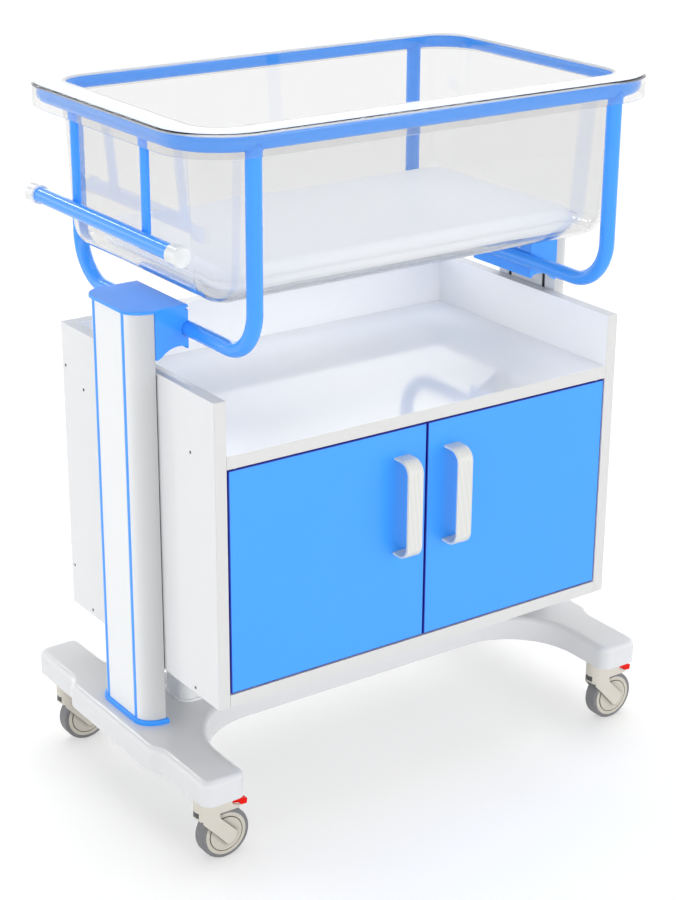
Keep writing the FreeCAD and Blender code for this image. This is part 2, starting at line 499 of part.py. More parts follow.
bar = rod(TUBE_R, (-BAR_X, -BAR_HALF, BAR_Z), (-BAR_X, BAR_HALF, BAR_Z))
drops = []
for s in (-1, 1):
    drop = rod(DROP_R, (-DROP_X, s * DROP_Y, BAR_Z), (-DROP_X, s * DROP_Y, RIM_Z)).cut([bar, rim_solid])
    drops.append(max(drop.Solids, key=lambda s: s.Volume))
save("handle_drop_tubes", *drops)
bar = bar.cut(rod(TUBE_R - TUBE_WALL, (-BAR_X, -BAR_HALF - 1, BAR_Z), (-BAR_X, BAR_HALF + 1, BAR_Z)))
save("handle_bar", bar)

cap = rod(CAP_R, (-BAR_X, BAR_HALF, BAR_Z), (-BAR_X, BAR_HALF + CAP_LENGTH, BAR_Z))
cap = cap.makeFillet(3.0, [e for e in cap.Edges if e.BoundBox.YMin > BAR_HALF + CAP_LENGTH - 0.1])
cap = cap.fuse(rod(TUBE_R - TUBE_WALL, (-BAR_X, BAR_HALF - 15, BAR_Z), (-BAR_X, BAR_HALF, BAR_Z)))
save("handle_end_caps", *both_sides_y(cap))

# Tub: clear moulded shell whose flange lies on the rim and whose skirt hangs outside it --------
TUB_WALL, TUB_Z0 = 4.0, 777.0
TUB_TOP_X, TUB_DRAFT = 343.0, 10.5            # outer half length at the flange, and what it loses below
TUB_ROUND = 38.0
FLANGE_Z0 = RIM_Z + TUBE_R + 0.3
FLANGE_Z1 = FLANGE_Z0 + TUB_WALL
SKIRT_X, SKIRT_T, SKIRT_Z0 = 383.0, 3.5, 979.0


def tub_block(inset, z0, z1, bottom_round):
    """The drafted tub body: rounded rectangles about fixed corner centres, with a round bottom."""
    def section(z):
        reach = TUB_TOP_X - CORNER_X - inset - TUB_DRAFT * (FLANGE_Z1 - z) / (FLANGE_Z1 - TUB_Z0)
        return rounded_wire(CORNER_X + reach, CORNER_Y + reach, z, reach)
    block = Part.makeLoft([section(z0), section(z1)], True, True)
    return block.makeFillet(bottom_round, edges_at_z(block, z0))


def flange_block(half_x, z0, z1):
    reach = half_x - CORNER_X
    return rounded_block(half_x, CORNER_Y + reach, z0, z1, reach)


outside = tub_block(0, TUB_Z0, FLANGE_Z0 + 1, TUB_ROUND)
inside = tub_block(TUB_WALL, TUB_Z0 + TUB_WALL, FLANGE_Z1 + 1, TUB_ROUND - TUB_WALL)
flange = flange_block(SKIRT_X, SKIRT_Z0, FLANGE_Z1)
flange = flange.makeFillet(3.0, edges_at_z(flange, FLANGE_Z1))
flange = flange.cut(flange_block(SKIRT_X - SKIRT_T, SKIRT_Z0 - 1, FLANGE_Z0))
tub = outside.fuse(flange).cut(inside).removeSplitter()
save("tub", tub)

# Mattress: a foam pad on the tub's floor, its lower edge cut back to clear the tub's round bottom.
MATTRESS_X, MATTRESS_Y, MATTRESS_T, MATTRESS_CORNER, MATTRESS_CUT = 307.0, 176.0, 36.5, 45.0, 16.0
mattress_z0 = TUB_Z0 + TUB_WALL + 0.4
mattress = rounded_block(MATTRESS_X, MATTRESS_Y, mattress_z0, mattress_z0 + MATTRESS_T, MATTRESS_CORNER)
mattress = mattress.makeChamfer(MATTRESS_CUT, edges_at_z(mattress, mattress_z0))
mattress = mattress.makeFillet(8.0, edges_at_z(mattress, mattress_z0 + MATTRESS_T))
save("mattress", mattress)

# Casters: swivel fork, wheel on an axle, and a brake pedal ---------------------------------------
FORK_TOP, FORK_HALF, FORK_NOSE_X = 106.0, 15.0, -9.5
WHEEL_SPACE, WHEEL_SPACE_R, WHEEL_SPACE_TOP = 12.0, 40.0, 67.5
GUARD_HALF, GUARD_TOP, GUARD_INSET = 7.5, 80.0, 1.2
ARM_END_R = 15.5
AXLE_R, AXLE_HALF = 4.0, 13.5
HUB_HALF, DISC_HALF, GROOVE_R0, GROOVE_R1 = 11.0, 11.6, 24.9, 26.3
STEM_Z0, STEM_FLANGE_R = 84.0, 12.0
PEDAL_X, PEDAL_Z, PEDAL_PIN_R, PEDAL_HALF = 15.0, 91.0, 2.5, 9.5
PEDAL_SLOT_X, PEDAL_SLOT_Z0, PEDAL_SLOT_Z1, PEDAL_SLOT_FIT = 7.5, 72.0, 101.0, 0.5

# Side view of the fork: hood, sloping arm to the axle, and a short canopy over the wheel.
ARM_LOW, ARM_HIGH = (18.0, 23.2), (33.9, 38.3)
FORK_OUTLINE = [(-25, 106), (-25, 71.3), ARM_LOW, ARM_HIGH, (7.5, 66.5), (6.5, 74.5), (37.5, 74.3),
                (39.5, 77), (27, 82.5), (25, 95), (25, 106)]
PEDAL_OUTLINE = [(9, 95), (9, 87), (22, 83), (27, 81.3), (41.5, 78), (43, 73.7), (53, 73), (54, 80.8),
                 (40, 86), (26, 90.5), (18, 96)]


def caster_fork():
    """Round-nosed hood with two arms, open over the wheel and the pedal."""
    half, nose, slot = FORK_HALF, (FORK_NOSE_X, 0), PEDAL_HALF + PEDAL_SLOT_FIT
    arm_end = rod(ARM_END_R, (TRAIL, -half, WHEEL_R), (TRAIL, half, WHEEL_R))
    beyond = plate_xz([ARM_LOW, (60, 20), (60, 40), ARM_HIGH], -half, half)
    fork = plate_xz(FORK_OUTLINE, -half, half).fuse(arm_end.common(beyond))
    plan = rod(half, (*nose, 0), (*nose, 120)).fuse(box(FORK_NOSE_X, 60, -half, half, 0, 120))
    fork = fork.common(plan).removeSplitter()
    recess = rod(half + 1, (*nose, 0), (*nose, GUARD_TOP))
    recess = recess.cut(rod(half - GUARD_INSET, (*nose, 0), (*nose, 120)))
    room = [rod(WHEEL_SPACE_R, (TRAIL, -WHEEL_SPACE, WHEEL_R), (TRAIL, WHEEL_SPACE, WHEEL_R)),
            box(-60, 60, -WHEEL_SPACE, WHEEL_SPACE, -5, WHEEL_SPACE_TOP),
            box(PEDAL_SLOT_X, 60, -slot, slot, PEDAL_SLOT_Z0, PEDAL_SLOT_Z1),
            recess.common(box(-60, FORK_NOSE_X, -GUARD_HALF, GUARD_HALF, 0, 120))]
    holes = [rod(STEM_R + SLIDE_FIT, (0, 0, 60), (0, 0, FORK_TOP + 1)),
             rod(AXLE_R, (TRAIL, -AXLE_HALF, WHEEL_R), (TRAIL, AXLE_HALF, WHEEL_R)),
             rod(PEDAL_PIN_R + SLIDE_FIT, (PEDAL_X, -WHEEL_SPACE - 1, PEDAL_Z),
                 (PEDAL_X, WHEEL_SPACE + 1, PEDAL_Z))]
    return fork.cut(room).cut(holes).removeSplitter()


def wheel_disc(radius, half, round_edge=0.0):
    disc = rod(radius, (TRAIL, -half, WHEEL_R), (TRAIL, half, WHEEL_R))
    if round_edge:
        disc = disc.makeFillet(round_edge, [e for e in disc.Edges if e.BoundBox.YLength < 0.01])
    return disc


def caster_hub():
    hub = wheel_disc(HUB_R, HUB_HALF, 0.8).fuse(wheel_disc(GROOVE_R1, DISC_HALF)).removeSplitter()
    for s in (-1, 1):
        ring = [rod(r, (TRAIL, s * (HUB_HALF - 1.5), WHEEL_R), (TRAIL, s * (DISC_HALF + 1), WHEEL_R))
                for r in (GROOVE_R1 + 0.01, GROOVE_R0)]
        hub = hub.cut(ring[0].cut(ring[1]))
    return hub.cut(wheel_disc(AXLE_R + SLIDE_FIT, DISC_HALF + 1))


def brake_pedal():
    pedal = plate_xz(PEDAL_OUTLINE, -PEDAL_HALF, PEDAL_HALF)
    pedal = pedal.makeFillet(1.0, [e for e in pedal.Edges if e.BoundBox.XMin > 23 and e.BoundBox.YLength > 1])
    pin = rod(PEDAL_PIN_R, (PEDAL_X, -WHEEL_SPACE - 0.8, PEDAL_Z), (PEDAL_X, WHEEL_SPACE + 0.8, PEDAL_Z))
    return pedal.fuse(pin).removeSplitter()


tyre = wheel_disc(WHEEL_R, WHEEL_HALF, 3.0).cut(wheel_disc(HUB_R, WHEEL_HALF + 1))
stem = rod(STEM_R, (0, 0, STEM_Z0), (0, 0, FRAME_TOP))
stem = stem.fuse(rod(STEM_FLANGE_R, (0, 0, FORK_TOP + 0.3), (0, 0, FRAME_TOP - FRAME_H))).removeSplitter()
axle_pin = rod(AXLE_R, (TRAIL, -AXLE_HALF, WHEEL_R), (TRAIL, AXLE_HALF, WHEEL_R))
caster_pieces = {"caster_fork": caster_fork(), "caster_axle": axle_pin, "caster_hub": caster_hub(),
                 "caster_tyre": tyre, "brake_pedal": brake_pedal()}
stems = []
for end, sy in (("front", -1), ("rear", 1)):
    for side, sx in (("left", -1), ("right", 1)):
        place = V(sx * SWIVEL_X, sy * SWIVEL_Y, 0)
        for name, piece in caster_pieces.items():
            save(f"{name}_{end}_{side}", piece.translated(place))
        stems.append(stem.translated(place))
save("caster_stems", *stems)

print(f"lift {STROKE:.0f} mm, tilt {TILT_DEG:.0f} deg lifts the right column {TILT_RISE:.2f} mm, "
      f"centre offset {CENTRE_X:.3f} mm")
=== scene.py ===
from math import cos, pi, radians, sin

import bmesh
import bpy
from mathutils import Matrix, Vector


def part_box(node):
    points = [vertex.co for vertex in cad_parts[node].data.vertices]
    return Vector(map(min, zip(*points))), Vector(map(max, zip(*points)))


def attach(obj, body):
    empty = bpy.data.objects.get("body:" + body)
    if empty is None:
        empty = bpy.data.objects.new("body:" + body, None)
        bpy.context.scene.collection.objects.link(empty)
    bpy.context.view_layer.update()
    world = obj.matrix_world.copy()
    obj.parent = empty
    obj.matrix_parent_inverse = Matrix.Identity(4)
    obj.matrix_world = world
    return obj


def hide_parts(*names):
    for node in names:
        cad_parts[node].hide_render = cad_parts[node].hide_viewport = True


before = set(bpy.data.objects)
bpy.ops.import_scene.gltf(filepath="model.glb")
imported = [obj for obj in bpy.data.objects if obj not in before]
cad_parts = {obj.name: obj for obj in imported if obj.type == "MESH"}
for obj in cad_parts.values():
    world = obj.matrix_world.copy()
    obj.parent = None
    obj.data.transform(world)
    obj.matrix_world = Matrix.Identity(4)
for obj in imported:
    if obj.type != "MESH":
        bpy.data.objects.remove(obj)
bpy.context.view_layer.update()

# Base cover: an H-plan shell moulded in ABS and lacquered white, dropped over the steel frame.
# The mould leaves a long, very shallow ripple that only the reflections show.
mm = 0.001
DRIFT_LOW, DRIFT_HIGH = 0.2, 0.8


def linear(colour):
    """The linear numbers of an sRGB hex colour."""
    parts = [int(colour[k:k + 2], 16) / 255 for k in (1, 3, 5)]
    return tuple(p / 12.92 if p <= 0.04045 else ((p + 0.055) / 1.055) ** 2.4 for p in parts) + (1.0,)


def node(material, kind, inputs=None, **settings):
    """Adds a shader node. inputs maps its sockets to values or to the sockets of other nodes."""
    made = material.node_tree.nodes.new("ShaderNode" + kind)
    for name, value in settings.items():
        setattr(made, name, value)
    for socket, value in (inputs or {}).items():
        if isinstance(value, bpy.types.NodeSocket):
            material.node_tree.links.new(value, made.inputs[socket])
        else:
            made.inputs[socket].default_value = value
    return made


def feed(material, socket, output):
    """Links an output to that socket of the material's Principled shader."""
    material.node_tree.links.new(output, material.node_tree.nodes["Principled BSDF"].inputs[socket])


def finish(name, colour, roughness, **sockets):
    """A material with one Principled shader; _ stands for a space in a socket's name."""
    material = bpy.data.materials.new(name)
    material.use_nodes = True
    shader = material.node_tree.nodes["Principled BSDF"]
    shader.inputs["Base Color"].default_value = linear(colour)
    shader.inputs["Roughness"].default_value = roughness
    for socket, value in sockets.items():
        shader.inputs[socket.replace("_", " ")].default_value = value
    return material


def skin(material, cell, depth, tones=None, rough=None, patch=60 * mm):
    """Relief of that cell size and depth, with tone and roughness that drift over larger patches."""
    place = node(material, "TexCoord").outputs["Object"]
    relief = node(material, "TexNoise", {"Vector": place, "Scale": 1 / cell, "Detail": 3.0})
    bump = node(material, "Bump", {"Height": relief.outputs["Fac"], "Distance": depth, "Strength": 1.0})
    feed(material, "Normal", bump.outputs["Normal"])
    drift = node(material, "TexNoise", {"Vector": place, "Scale": 1 / patch, "Detail": 1.5})
    if tones:
        ramp = node(material, "ValToRGB", {"Fac": drift.outputs["Fac"]})
        ramp.color_ramp.elements[0].position, ramp.color_ramp.elements[1].position = DRIFT_LOW, DRIFT_HIGH
        ramp.color_ramp.elements[0].color, ramp.color_ramp.elements[1].color = map(linear, tones)
        feed(material, "Base Color", ramp.outputs["Color"])
    if rough:
        spread = node(material, "MapRange", {"Value": drift.outputs["Fac"], "From Min": DRIFT_LOW,
                                             "From Max": DRIFT_HIGH, "To Min": rough[0], "To Max": rough[1]})
        feed(material, "Roughness", spread.outputs["Result"])
    return material


def dress(material, *names):
    """Gives the frame's own nodes this finish."""
    for name in names:
        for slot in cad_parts[name].material_slots:
            slot.material = material


lacquered_abs = skin(finish("lacquered moulded ABS", "#d9dadc", 0.2, Coat_Weight=0.4, Coat_Roughness=0.06),
                     14 * mm, 0.03 * mm, ("#d8d9db", "#dadbdd"), (0.18, 0.24))
dress(lacquered_abs, "base_cover")

# Base frame and plinth: welded steel tube under the cover, and a folded sheet box that carries the cabinet.
# Both are powder coated, which leaves a fine orange peel.
grey_powder = skin(finish("grey powder-coated steel", "#aeb2b6", 0.45), 2 * mm, 0.05 * mm,
                   ("#a9adb1", "#b3b7bb"), (0.4, 0.5))
white_powder = skin(finish("white powder-coated steel", "#eceded", 0.32), 2.5 * mm, 0.04 * mm,
                    ("#e9eaea", "#eeefef"), (0.28, 0.38))
dress(grey_powder, "base_frame")
dress(white_powder, "plinth")

# Casters: forks and wheel cores of glass-filled nylon, soft grey tyres moulded round them, a zinc-plated stem
# and axle, and a red brake pedal of acetal. The nylon has the matt texture of a spark-eroded mould, and its
# narrow gaps carry painted shade: the colour darkens where something is close.
CASTERS = [f"{end}_{side}" for end in ("front", "rear") for side in ("left", "right")]
CREVICE, CREVICE_POWER, CREVICE_SAMPLES = 7 * mm, 1.6, 8


def shade_crevices(material, painted_shade):
    """Paints shade: lets the colour fall off to a dark shade colour where something is close."""
    unshaded_colour = material.node_tree.nodes["Principled BSDF"].inputs["Base Color"].links[0].from_socket
    open_share = node(material, "AmbientOcclusion", {"Distance": CREVICE}, samples=CREVICE_SAMPLES)
    open_share = node(material, "Math", {0: open_share.outputs["AO"], 1: CREVICE_POWER}, operation="POWER")
    mixed = node(material, "Mix", {0: open_share.outputs[0], 6: linear(painted_shade), 7: unshaded_colour}, data_type="RGBA")
    feed(material, "Base Color", mixed.outputs[2])


nylon = skin(finish("beige moulded nylon", "#cfcabf", 0.42), 1.2 * mm, 0.06 * mm,
             ("#cdc8bd", "#d3cec4"), (0.36, 0.5))
core_nylon = skin(finish("beige wheel core nylon", "#c6c1b5", 0.4), 1.2 * mm, 0.04 * mm,
                  ("#c3beb2", "#c9c4b8"), (0.36, 0.46))
# Painted shade in the gaps of the forks, and a darker one in the gaps of the wheel cores.
shade_crevices(nylon, "#77726a")
shade_crevices(core_nylon, "#5f5b54")
rubber = skin(finish("grey thermoplastic rubber", "#77777a", 0.6), 1.5 * mm, 0.08 * mm,
              ("#707073", "#7d7d80"), (0.5, 0.7), patch=14 * mm)
acetal = skin(finish("red acetal", "#e41000", 0.35, Specular_IOR_Level=0.15), 1.5 * mm, 0.03 * mm,
              ("#e00e00", "#e81302"), (0.3, 0.42))
zinc = skin(finish("zinc-plated steel", "#c9ccce", 0.28, Metallic=1.0), 1.0 * mm, 0.02 * mm,
            ("#c2c5c8", "#d0d3d4"), (0.22, 0.38), patch=12 * mm)
for place in CASTERS:
    dress(nylon, f"caster_fork_{place}")
    dress(core_nylon, f"caster_hub_{place}")
    dress(rubber, f"caster_tyre_{place}")
    dress(acetal, f"brake_pedal_{place}")
    dress(zinc, f"caster_axle_{place}")
dress(zinc, "caster_stems")

# Guard plates: curved strips of dark moulded nylon, snapped into the recess at the nose of each fork.
# Level grooves leave three ribs on the outside, which show as fine dark and pale lines.
NOSE_R, GUARD_BACK_R, GUARD_FRONT_R, GUARD_HALF_ANGLE = 15 * mm, 13.6 * mm, 14.6 * mm, 29
GUARD_LOW, GUARD_HIGH, GUARD_RIBS, GUARD_STEPS = 71.6 * mm, 79.6 * mm, 3, 8
GROOVE_FROM, GROOVE_FLOOR, GROOVE_TO, GROOVE_DEPTH = 0.9 * mm, 0.7 * mm, 0.1 * mm, 0.7 * mm
dark_nylon = skin(finish("dark moulded nylon", "#4b4d4d", 0.45), 1.2 * mm, 0.04 * mm,
                  ("#474949", "#505252"), (0.4, 0.5))


def mesh_object(name, build):
    """A new object whose mesh build() fills."""
    mesh, shape = bpy.data.meshes.new(name), bmesh.new()
    build(shape)
    bmesh.ops.recalc_face_normals(shape, faces=shape.faces)
    shape.to_mesh(mesh)
    shape.free()
    for face in mesh.polygons:
        face.use_smooth = True
    made = bpy.data.objects.new(name, mesh)
    bpy.context.scene.collection.objects.link(made)
    return made


def guard_plate(shape, nose):
    """A curved plate whose outer side steps in and out in level ribs."""
    levels = [(GUARD_LOW, GUARD_BACK_R)]
    for k in range(GUARD_RIBS):
        low = GUARD_LOW + (GUARD_HIGH - GUARD_LOW) * k / GUARD_RIBS
        high = GUARD_LOW + (GUARD_HIGH - GUARD_LOW) * (k + 1) / GUARD_RIBS
        levels += [(low + GROOVE_TO, GUARD_FRONT_R), (high - GROOVE_FROM, GUARD_FRONT_R),
                   (high - GROOVE_FLOOR, GUARD_FRONT_R - GROOVE_DEPTH),
                   (high - GROOVE_TO, GUARD_FRONT_R - GROOVE_DEPTH)]
    levels.append((GUARD_HIGH, GUARD_BACK_R))
    angles = [pi + radians(GUARD_HALF_ANGLE * (2 * k / GUARD_STEPS - 1)) for k in range(GUARD_STEPS + 1)]
    grid = [[shape.verts.new((nose[0] + radius * cos(a), nose[1] + radius * sin(a), z)) for a in angles]
            for z, radius in levels]
    for low, high in zip(grid, grid[1:] + grid[:1]):
        for k in range(GUARD_STEPS):
            shape.faces.new((low[k], low[k + 1], high[k + 1], high[k]))
    shape.faces.new([row[0] for row in grid])
    shape.faces.new([row[-1] for row in grid])


for place in CASTERS:
    low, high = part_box(f"caster_fork_{place}")
    nose = (low.x + NOSE_R, (low.y + high.y) / 2)
    guard = mesh_object(f"fork_guard_{place}", lambda shape: guard_plate(shape, nose))
    guard.data.materials.append(dark_nylon)
    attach(guard, f"caster_{place}")

# Cabinet: 18 mm chipboard with a high-gloss melamine face and glued edging, screwed through the sides with
# black-oxide screws. The chips telegraph through the face as a faint waviness. The faces inside the tray
# carry
# painted light: a cooler, whiter colour than the outer faces, against the shade of the tub and mattress.
INNER_PAINTED_LIGHT, OUTER_WHITE, EDGING, BOND_LINE = "#f9fafc", "#e2e3e5", "#d6d6d5", "#b9babc"
CHIP, ROUGH_SPREAD, SEAM_FROM, SEAM_TO = 9 * mm, 0.02, 0.1, 0.2
GLOSS = (0.08, 0.004 * mm)


def board(name, finish_colours, across, roughness, relief):
    """Laminate on the two faces across that axis, PVC edging on the others and a bond line between them."""
    low, edging, seam, high = finish_colours
    made = skin(finish(name, high, roughness), CHIP, relief,
                rough=(roughness - ROUGH_SPREAD, roughness + ROUGH_SPREAD))
    slope = node(made, "SeparateXYZ", {0: node(made, "TexCoord").outputs["Normal"]}).outputs[across]
    slope = node(made, "MapRange", {"Value": slope, "From Min": -1.0}).outputs["Result"]
    ramp = node(made, "ValToRGB", {"Fac": slope})
    ramp.color_ramp.interpolation = "CONSTANT"
    ramp.color_ramp.elements[0].color, ramp.color_ramp.elements[1].color = linear(low), linear(high)
    ramp.color_ramp.elements[1].position = 1 - SEAM_FROM
    for position, colour in ((SEAM_FROM, seam), (SEAM_TO, edging), (1 - SEAM_TO, seam)):
        ramp.color_ramp.elements.new(position).color = linear(colour)
    feed(made, "Base Color", ramp.outputs["Color"])
    return made


# Painted light: the board faces inside the tray are given a whiter colour than the outer ones.
INNER_HIGH = (OUTER_WHITE, EDGING, BOND_LINE, INNER_PAINTED_LIGHT)
INNER_LOW = (INNER_PAINTED_LIGHT, EDGING, BOND_LINE, OUTER_WHITE)
dress(board("gloss laminate, left board", INNER_HIGH, "X", *GLOSS), "side_panel_left")
dress(board("gloss laminate, right board", INNER_LOW, "X", *GLOSS), "side_panel_right")
dress(board("gloss laminate, back board", INNER_LOW, "Y", *GLOSS), "back_panel")
dress(board("gloss laminate, level board", INNER_HIGH, "Z", *GLOSS), "tray_panel", "bottom_panel")
black_oxide = skin(finish("black-oxide steel", "#4a4b4e", 0.4, Metallic=1.0), 1.0 * mm, 0.02 * mm,
                   ("#454649", "#4f5053"), (0.34, 0.46), patch=12 * mm)
dress(black_oxide, "panel_screws")
dress(zinc, "cabinet_bolts", "door_pivot_pins")

# Doors: the same board with a satin blue face and navy PVC edging, whose thickness shows as a thin line round
# the face, and bow handles of white ABS with fine ribs for grip along their whole length. The valleys of the
# ribs carry painted shade and their crests a painted highlight.
BLUE_FACE, NAVY_EDGING, EDGING_THICK = "#3d9fff", "#0a22a4", 1.5 * mm
DOOR_COLOURS = (BLUE_FACE, NAVY_EDGING, NAVY_EDGING, BLUE_FACE)
SATIN = (0.32, 0.006 * mm)
RIB, RIB_HEIGHT, RIB_PAINTED_SHADE, RIB_PAINTED_LIGHT = 2.2 * mm, 0.2 * mm, "#c3c4c1", "#eeeeea"


def door_board(side):
    """The board of one door, with the line of edging on its face."""
    made = board(f"blue satin laminate, {side} door", DOOR_COLOURS, "Y", *SATIN)
    low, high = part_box(f"door_{side}")
    place = node(made, "SeparateXYZ", {0: node(made, "TexCoord").outputs["Object"]})
    past_face = []
    for axis, near, far in (("X", low.x, high.x), ("Z", low.z, high.z)):
        offset = node(made, "Math", {0: place.outputs[axis], 1: (near + far) / 2}, operation="SUBTRACT")
        offset = node(made, "Math", {0: offset.outputs[0]}, operation="ABSOLUTE")
        past_face.append(node(made, "Math", {0: offset.outputs[0], 1: (far - near) / 2 - EDGING_THICK},
                              operation="GREATER_THAN").outputs[0])
    in_edging = node(made, "Math", {0: past_face[0], 1: past_face[1]}, operation="MAXIMUM").outputs[0]
    face = made.node_tree.nodes["Principled BSDF"].inputs["Base Color"].links[0].from_socket
    edged = node(made, "Mix", {0: in_edging, 6: face, 7: linear(NAVY_EDGING)}, data_type="RGBA")
    feed(made, "Base Color", edged.outputs[2])
    return made


for side in ("left", "right"):
    dress(door_board(side), f"door_{side}")
ribbed_abs = skin(finish("white ribbed ABS", "#e9eae8", 0.3), 4 * mm, 0.01 * mm, rough=(0.28, 0.32))
across_rib = node(ribbed_abs, "SeparateXYZ", {0: node(ribbed_abs, "TexCoord").outputs["Object"]}).outputs["X"]
turns = node(ribbed_abs, "Math", {0: across_rib, 1: 2 * pi / RIB}, operation="MULTIPLY").outputs[0]
wave = node(ribbed_abs, "Math", {0: turns}, operation="SINE").outputs[0]
rib = node(ribbed_abs, "MapRange", {"Value": wave, "From Min": -1.0}).outputs["Result"]
# Painted shade and highlight: the rib valleys are painted darker and the crests lighter.
painted_shade_tone = node(ribbed_abs, "ValToRGB", {"Fac": rib})
painted_shade_tone.color_ramp.elements[0].color, painted_shade_tone.color_ramp.elements[1].color = linear(RIB_PAINTED_SHADE), linear(RIB_PAINTED_LIGHT)
feed(ribbed_abs, "Base Color", painted_shade_tone.outputs["Color"])
ridge = node(ribbed_abs, "Bump", {"Height": rib, "Distance": RIB_HEIGHT, "Strength": 1.0,
                                  "Normal": ribbed_abs.node_tree.nodes["Bump"].outputs["Normal"]})
feed(ribbed_abs, "Normal", ridge.outputs["Normal"])
dress(ribbed_abs, "door_handle_left", "door_handle_right")

# Columns: aluminium extrusions, powder coated white, with painted shade that turns their front and back
# flanks grey, and blue vinyl strips pressed into their outer grooves. The inner columns are satin anodised.
# They slide on nylon pads round a gas spring with a hard-chromed rod, and carry the crib in nylon saddles.
FACE_WHITE, FLANK_PAINTED_SHADE, FLANK_SHADE_FROM = "#e9ebed", "#c4c5c6", 0.2
column_coat = skin(finish("white powder-coated aluminium", "#e8eaec", 0.3), 2.5 * mm, 0.012 * mm,
                   ("#e7e9eb", "#e9ebed"), (0.28, 0.34))
vinyl = skin(finish("blue vinyl strip", "#2f97ff", 0.35), 3 * mm, 0.03 * mm,
             ("#2c93fb", "#339bff"), (0.3, 0.4))
anodised = skin(finish("anodised aluminium", "#8e9194", 0.36, Metallic=1.0), 1.2 * mm, 0.01 * mm,
                ("#8a8d90", "#929598"), (0.32, 0.4))
chrome = skin(finish("hard-chromed rod", "#d8d9da", 0.12, Metallic=1.0), 1.5 * mm, 0.005 * mm,
              ("#d3d4d6", "#dcddde"), (0.1, 0.16))
black_tube = skin(finish("black painted tube", "#1d1e20", 0.4), 2 * mm, 0.03 * mm,
                  ("#1a1b1d", "#222326"), (0.35, 0.45))
nylon_pad = skin(finish("natural nylon", "#d9d7cf", 0.45), 2 * mm, 0.03 * mm,
                 ("#d5d3ca", "#dddbd4"), (0.4, 0.5))
# Painted shade: faces that turn towards front or back are painted grey, the others white.
shade_on_flank = node(column_coat, "SeparateXYZ", {0: node(column_coat, "TexCoord").outputs["Normal"]}).outputs["Y"]
shade_on_flank = node(column_coat, "Math", {0: shade_on_flank}, operation="ABSOLUTE").outputs[0]
painted_shade_tone = node(column_coat, "ValToRGB", {"Fac": shade_on_flank})
painted_shade_tone.color_ramp.elements[0].position = FLANK_SHADE_FROM
painted_shade_tone.color_ramp.elements[0].color, painted_shade_tone.color_ramp.elements[1].color = linear(FACE_WHITE), linear(FLANK_PAINTED_SHADE)
feed(column_coat, "Base Color", painted_shade_tone.outputs["Color"])
dress(column_coat, "column_left", "column_right")
dress(vinyl, "column_stripes", "column_collars")
dress(anodised, "inner_column_left", "inner_column_right")
dress(chrome, "gas_spring_rod_left", "gas_spring_rod_right")
dress(black_tube, "gas_spring_tubes")
dress(nylon_pad, "column_glides", "pivot_saddles_left", "pivot_saddles_right")
dress(zinc, "saddle_screws_left", "saddle_screws_right")

# Black strips: extruded rubber cord, pressed into the open slots of each column's inner face above the
# cabinet, and strips of painted shade that fill the gap between column and cabinet along both edges of the
# column. Both show as thin matt black lines.
SLOT_Y, CORD_HALF, CORD_SUNK, CORD_DEPTH, CORD_ROUND = 39 * mm, 2.9 * mm, 0.3 * mm, 2.4 * mm, 0.5 * mm
GAP_SHADE_IN, GAP_SHADE_WIDTH, GAP_SHADE_CLEAR, GAP_SHADE_ROUND = 1.5 * mm, 5 * mm, 0.15 * mm, 0.4 * mm
STRIP_END = 4 * mm
black_rubber_and_gap_shade = skin(finish("black rubber and painted gap shade", "#17181a", 0.6), 1.5 * mm, 0.04 * mm,
                    ("#141516", "#1b1c1e"), (0.55, 0.68))


def strip(shape, low, high, round_off):
    """A strip with rounded edges between two corners."""
    made = bmesh.ops.create_cube(shape, size=1.0)["verts"]
    for vertex in made:
        vertex.co = [l + (h - l) * (c + 0.5) for c, l, h in zip(vertex.co, low, high)]
    edges = {e for v in made for e in v.link_edges}
    bmesh.ops.bevel(shape, geom=list(edges), offset=round_off, segments=2, affect="EDGES", profile=0.5)


def cords_and_gap_shade(shape):
    """Two cords, and two black strips of painted shade in the gap, at each column."""
    cabinet_low, cabinet_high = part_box("side_panel_left")[0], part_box("side_panel_right")[1]
    for side, sign in (("left", -1), ("right", 1)):
        low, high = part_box(f"column_{side}")
        inner = high.x if sign < 0 else low.x
        board_face = cabinet_low.x if sign < 0 else cabinet_high.x
        for s in (-1, 1):
            xs = sorted((inner + sign * CORD_SUNK, inner + sign * CORD_DEPTH))
            strip(shape, (xs[0], s * SLOT_Y - CORD_HALF, cabinet_high.z - STRIP_END),
                  (xs[1], s * SLOT_Y + CORD_HALF, high.z - STRIP_END), CORD_ROUND)
            # Painted shade: a black strip fills the gap between column and cabinet, where only shade falls.
            xs = sorted((board_face + sign * GAP_SHADE_CLEAR, inner - sign * GAP_SHADE_CLEAR))
            ys = sorted((s * (high.y - GAP_SHADE_IN), s * (high.y - GAP_SHADE_IN - GAP_SHADE_WIDTH)))
            strip(shape, (xs[0], ys[0], cabinet_low.z + STRIP_END),
                  (xs[1], ys[1], cabinet_high.z - STRIP_END), GAP_SHADE_ROUND)


strips = mesh_object("column_cords_and_gap_shade", cords_and_gap_shade)
strips.data.materials.append(black_rubber_and_gap_shade)
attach(strips, "stand")

# Crib frame and cap brackets: bent and welded steel tube and folded sheet, powder coated blue.
# The coat is smooth and fairly glossy, so that the tubes carry long soft highlights.
blue_powder = skin(finish("blue powder-coated steel", "#3c9aff", 0.15), 3 * mm, 0.01 * mm,
                   ("#3b99ff", "#3d9bff"), (0.13, 0.17))
dress(blue_powder, "rim_tube", "support_tube_left", "support_tube_right", "handle_drop_tubes", "handle_bar",
      "cap_bracket_left", "cap_bracket_right")

